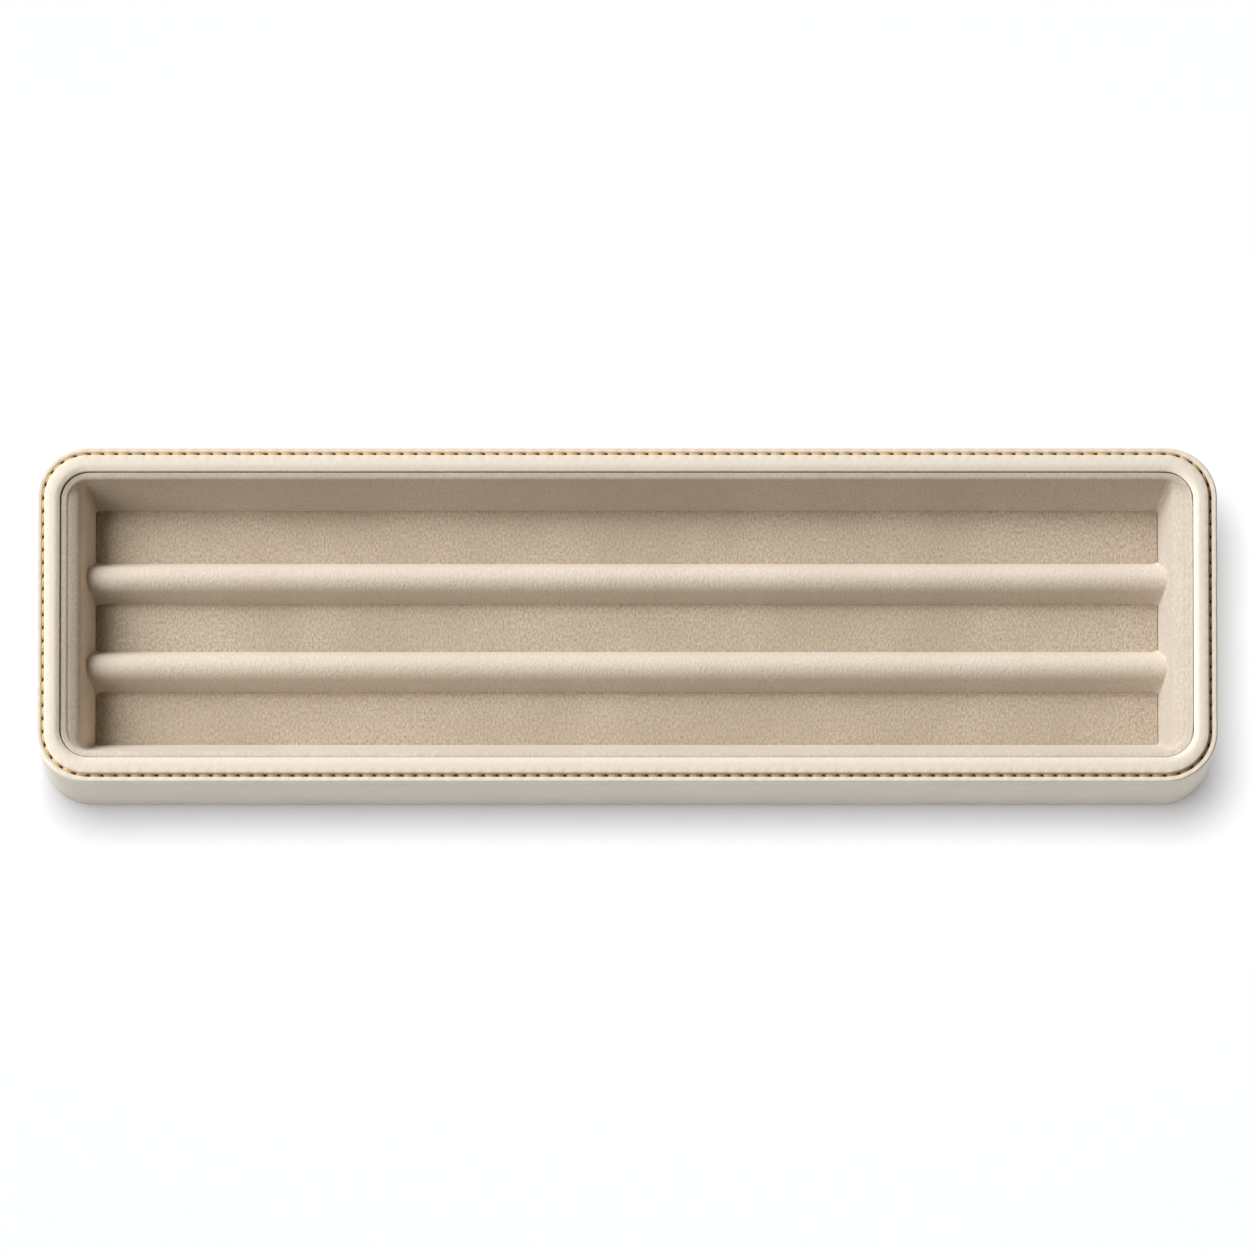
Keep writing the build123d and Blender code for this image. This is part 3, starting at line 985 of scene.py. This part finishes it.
class PENTRAY_OT_ridges(bpy.types.Operator):
    """Suede over the two long ridges, cut to the slope of the end walls"""

    bl_idname = "pen_tray.ridges"
    bl_label = "Ridges"

    def execute(self, context):
        suede = context.scene.pen_tray_suede
        for ridge in RIDGES:
            front_foot, back_foot = ridge_feet(ridge, suede)
            middle = (front_foot + back_foot) / 2
            foot = (back_foot - front_foot) / 2
            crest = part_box(f"divider_suede_{ridge}")[1].z - suede.ridge_tuck
            bm = self.draw_ridge(suede, middle, foot, crest)
            self.fit_ends(bm, suede, middle, crest)
            # The ridges wear the suede's paler copy, painted light
            material = shared_material(ridge_suede_painted_light, context)
            new_piece(f"ridge_{ridge}", bm, material, [f"divider_suede_{ridge}"])
        return {"FINISHED"}

    def draw_ridge(self, suede, middle, foot, crest):
        """A straight ridge as long as the floor."""
        # Two round shoulders that all but meet at the crest
        rounding_share = 0.97
        shoulder = foot - (crest - floor_level) * math.tan(suede.ridge_draft)
        rounding = rounding_share * shoulder
        floor_end = floor_high.x
        section = [
            (middle - foot, base_level, 0, 0),
            (middle - foot, floor_level, 0, 0),
            (middle - shoulder, crest, rounding, 8),
            (middle + shoulder, crest, rounding, 8),
            (middle + foot, floor_level, 0, 0),
            (middle + foot, base_level, 0, 0),
        ]
        bm = bmesh.new()
        draw_outline(bm, section, lambda across, up: (-floor_end, across, up))
        made = bmesh.ops.extrude_edge_only(bm, edges=bm.edges[:])["geom"]
        verts = of_kind(made, bmesh.types.BMVert)
        bmesh.ops.translate(bm, verts=verts, vec=(2 * floor_end, 0, 0))
        lengthways = [edge for edge in bm.edges if edge.calc_length() > floor_end]
        bmesh.ops.subdivide_edges(bm, edges=lengthways, cuts=50)
        for cut in FLARE_CUTS:
            place = math.copysign(floor_end, cut) - cut * suede.ridge_flare
            cut_across(bm, (place, 0, 0), (1, 0, 0))
        bmesh.ops.holes_fill(bm, edges=[edge for edge in bm.edges if edge.is_boundary])
        bmesh.ops.recalc_face_normals(bm, faces=bm.faces)
        return bm

    def fit_ends(self, bm, suede, middle, crest):
        """Flares the ridge's feet at the end walls, leans its ends on them and rounds their edges."""
        flare_width = suede.ridge_flare / 3
        for vert in bm.verts:
            height = max(vert.co.z - floor_level, 0)
            from_end = min((floor_high.x - abs(vert.co.x)) / suede.ridge_flare, 1)
            flare = flare_width * (1 - from_end) ** 2 * (1 - height / (crest - floor_level))
            vert.co.y += math.copysign(flare, vert.co.y - middle)
            vert.co.x += math.copysign(height * math.tan(suede.wall_draft), vert.co.x)
        lowest = floor_level - MERGE_DISTANCE
        ends = [face for face in bm.faces if len(face.verts) > 4]
        rims = [e for face in ends for e in face.edges if min(v.co.z for v in e.verts) > lowest]
        round_off(bm, rims, suede.ridge_edge, segments=4)
        bmesh.ops.recalc_face_normals(bm, faces=bm.faces)


class PENTRAY_OT_underside(bpy.types.Operator):
    """Felt sheet under the base"""

    bl_idname = "pen_tray.underside"
    bl_label = "Underside felt"

    def execute(self, context):
        suede = context.scene.pen_tray_suede
        size = felt_high - felt_low
        radius = corner_radius - (half_length - felt_high.x)
        bm = bmesh.new()
        add_row(
            bm, felt_high.x, felt_high.y, radius, felt_high.z, corner_steps=16, long_cuts=60, short_cuts=16
        )
        bmesh.ops.holes_fill(bm, edges=bm.edges)
        made = bmesh.ops.extrude_face_region(bm, geom=bm.faces[:])["geom"]
        lower = of_kind(made, bmesh.types.BMVert)
        bmesh.ops.translate(bm, verts=lower, vec=(0, 0, -size.z))
        borders = [edge for edge in bm.edges if rise(edge) < MERGE_DISTANCE]
        round_off(bm, borders, suede.felt_edge, segments=3)
        bmesh.ops.recalc_face_normals(bm, faces=bm.faces)
        felt = new_piece(
            "underside_felt", bm, shared_material(pressed_felt, context), ["base_felt"]
        )
        return {"FINISHED"}


class PENTRAY_OT_carcass(bpy.types.Operator):
    """Board and card finishes for the carcass that the lining hides"""

    bl_idname = "pen_tray.carcass"
    bl_label = "Carcass finishes"

    def execute(self, context):
        colours = context.scene.pen_tray_colours
        finishes = {
            "board": pressed_board("fibreboard_sawn", colours.board, colours.board_shade, 1.2 * MM),
            "card": pressed_board("grey_card_pressed", colours.card, colours.card_shade, 0.8 * MM),
        }
        for part in frame["record"]["subparts"]:
            if part["material_slot"] in finishes:
                node = frame["nodes"][part["node"]]
                node.data.materials.clear()
                node.data.materials.append(finishes[part["material_slot"]])
        return {"FINISHED"}


class PENTRAY_OT_stage(bpy.types.Operator):
    """White paper, a soft box at the back left, a fill, the paper's own light, and the camera"""

    bl_idname = "pen_tray.stage"
    bl_label = "Stage"

    def execute(self, context):
        studio = context.scene.pen_tray_studio
        context.scene.view_settings.view_transform = "Standard"
        tray = [item for item in context.scene.objects if item.type == "MESH"]
        paper = self.lay_paper(context)
        self.hang_lights(context, studio, tray, paper)
        self.light_all_round(context, studio)
        self.place_camera(context, studio)
        return {"FINISHED"}

    def lay_paper(self, context):
        """A wide sheet of matt paper under the tray."""
        paper_reach = 6.0
        material, tree, _ = new_material("studio_paper_matt")
        tint = opaque(context.scene.pen_tray_colours.floor)
        paper = add_node(tree, "ShaderNodeBsdfDiffuse", {"Color": tint})
        add_node(tree, "ShaderNodeOutputMaterial", {"Surface": paper.outputs["BSDF"]})
        bm = bmesh.new()
        bmesh.ops.create_grid(bm, x_segments=1, y_segments=1, size=paper_reach)
        mesh = bpy.data.meshes.new("studio_paper")
        bm.to_mesh(mesh)
        bm.free()
        mesh.materials.append(material)
        floor = bpy.data.objects.new("studio_paper", mesh)
        context.scene.collection.objects.link(floor)
        return floor

    def flat_light(self, name, level, distance, width, height):
        """A panel of light that gives a white card facing it that level of brightness."""
        light = bpy.data.lights.new(name, "AREA")
        light.shape = "RECTANGLE"
        light.size = width
        light.size_y = height
        light.energy = level * (math.pi * distance) ** 2
        return light

    def sun_light(self, name, level):
        """A light from far off that gives a white card facing it that level of brightness."""
        light = bpy.data.lights.new(name, "SUN")
        light.energy = level * math.pi
        return light

    def hang_lights(self, context, studio, tray, paper):
        """A soft box and a low wide panel for the tray. The outer sides, which would wash out where
        they face the soft box, take a weaker one in its place. The paper has a wide high light and a
        wash that casts no shadow, so that the tray's shadow stays short, soft and pale."""
        sides = [item for item in tray if item.name == "side_leather"]
        inner = [item for item in tray if item.name != "side_leather"]
        key_form = (studio.key_distance, studio.key_size, studio.key_size)
        fill_form = (studio.fill_distance, studio.fill_width, studio.fill_depth)
        soft_box = self.flat_light("key_soft_box", studio.key_level, *key_form)
        weak_box = self.flat_light("side_soft_box", studio.side_key_level, *key_form)
        panel = self.flat_light("fill_panel", studio.fill_level, *fill_form)
        panel.color = studio.fill_tint
        high_light = self.sun_light("paper_light", studio.paper_light_level)
        high_light.angle = studio.paper_light_spread
        wash = self.sun_light("paper_wash", studio.paper_wash_level)
        wash.use_shadow = False
        key_place = (studio.key_turn, studio.key_height, studio.key_distance)
        fill_place = (studio.fill_turn, studio.fill_height, studio.fill_distance)
        paper_place = (studio.paper_light_turn, studio.paper_light_height, studio.key_distance)
        for light, (turn, height, distance), lit in (
            (soft_box, key_place, inner),
            (weak_box, key_place, sides),
            (panel, fill_place, inner),
            (high_light, paper_place, [paper]),
            (wash, paper_place, [paper]),
        ):
            lamp = bpy.data.objects.new(light.name, light)
            towards = Vector((
                math.cos(height) * math.cos(turn), math.cos(height) * math.sin(turn), math.sin(height)
            ))
            lamp.location = towards * distance
            lamp.rotation_euler = (-towards).to_track_quat("-Z", "Y").to_euler()
            lamp.visible_camera = False
            receivers = bpy.data.collections.new(f"lit_by_{light.name}")
            for item in lit:
                receivers.objects.link(item)
            lamp.light_linking.receiver_collection = receivers
            context.scene.collection.objects.link(lamp)

    def light_all_round(self, context, studio):
        """A faint warm sky, which the camera sees as plain white."""
        world = bpy.data.worlds.new("studio_sky")
        world.use_nodes = True
        tree = world.node_tree
        tree.nodes.clear()
        seen = add_node(tree, "ShaderNodeLightPath")
        sky = add_node(
            tree, "ShaderNodeBackground", {"Color": opaque(studio.sky_tint), "Strength": studio.sky_level}
        )
        backdrop = add_node(tree, "ShaderNodeBackground", {"Color": opaque((1, 1, 1)), "Strength": 1.0})
        lights = {1: sky.outputs["Background"], 2: backdrop.outputs["Background"]}
        shown = add_node(tree, "ShaderNodeMixShader", {0: seen.outputs["Is Camera Ray"], **lights})
        add_node(tree, "ShaderNodeOutputWorld", {"Surface": shown.outputs["Shader"]})
        context.scene.world = world

    def place_camera(self, context, studio):
        """A long lens far off, so that the tray shows almost no perspective, as in the photograph."""
        lens = bpy.data.cameras.new("camera")
        lens.lens = lens.sensor_width * studio.view_distance / studio.frame_width
        lens.clip_end = 4 * studio.view_distance
        camera = bpy.data.objects.new("camera", lens)
        back = Vector((0, -math.cos(studio.view_height), math.sin(studio.view_height)))
        aim = Vector((studio.aim_across, 0, studio.aim_height))
        camera.location = aim + back * studio.view_distance
        camera.rotation_euler = (-back).to_track_quat("-Z", "Y").to_euler()
        context.scene.collection.objects.link(camera)
        context.scene.camera = camera


OPERATORS = (
    PENTRAY_OT_side_leather,
    PENTRAY_OT_rim,
    PENTRAY_OT_stitches,
    PENTRAY_OT_wall_lining,
    PENTRAY_OT_floor_pads,
    PENTRAY_OT_ridges,
    PENTRAY_OT_underside,
    PENTRAY_OT_carcass,
    PENTRAY_OT_stage,
)
SETTINGS = {
    "pen_tray_leather": PenTrayLeather,
    "pen_tray_suede": PenTraySuede,
    "pen_tray_colours": PenTrayColours,
    "pen_tray_studio": PenTrayStudio,
}


class PENTRAY_PT_panel(bpy.types.Panel):
    """Lists the tray's pieces and settings"""

    bl_idname = "PENTRAY_PT_panel"
    bl_label = "Pen Tray"
    bl_space_type = "VIEW_3D"
    bl_region_type = "UI"
    bl_category = "Pen Tray"

    def draw(self, context):
        for operator in OPERATORS:
            self.layout.operator(operator.bl_idname)
        for setting in SETTINGS:
            group = getattr(context.scene, setting)
            box = self.layout.box()
            for name in group.bl_rna.properties.keys():
                if name not in ("rna_type", "name"):
                    box.prop(group, name)


def register():
    for setting, group in SETTINGS.items():
        bpy.utils.register_class(group)
        setattr(bpy.types.Scene, setting, bpy.props.PointerProperty(type=group))
    for operator in OPERATORS:
        bpy.utils.register_class(operator)
    bpy.utils.register_class(PENTRAY_PT_panel)


def unregister():
    bpy.utils.unregister_class(PENTRAY_PT_panel)
    for operator in reversed(OPERATORS):
        bpy.utils.unregister_class(operator)
    for setting, group in SETTINGS.items():
        delattr(bpy.types.Scene, setting)
        bpy.utils.unregister_class(group)


def main():
    register()
    bpy.ops.pen_tray.side_leather()
    bpy.ops.pen_tray.rim()
    bpy.ops.pen_tray.stitches()
    bpy.ops.pen_tray.wall_lining()
    bpy.ops.pen_tray.floor_pads()
    bpy.ops.pen_tray.ridges()
    bpy.ops.pen_tray.underside()
    bpy.ops.pen_tray.carcass()
    bpy.ops.pen_tray.stage()


if __name__ == "__main__":
    main()
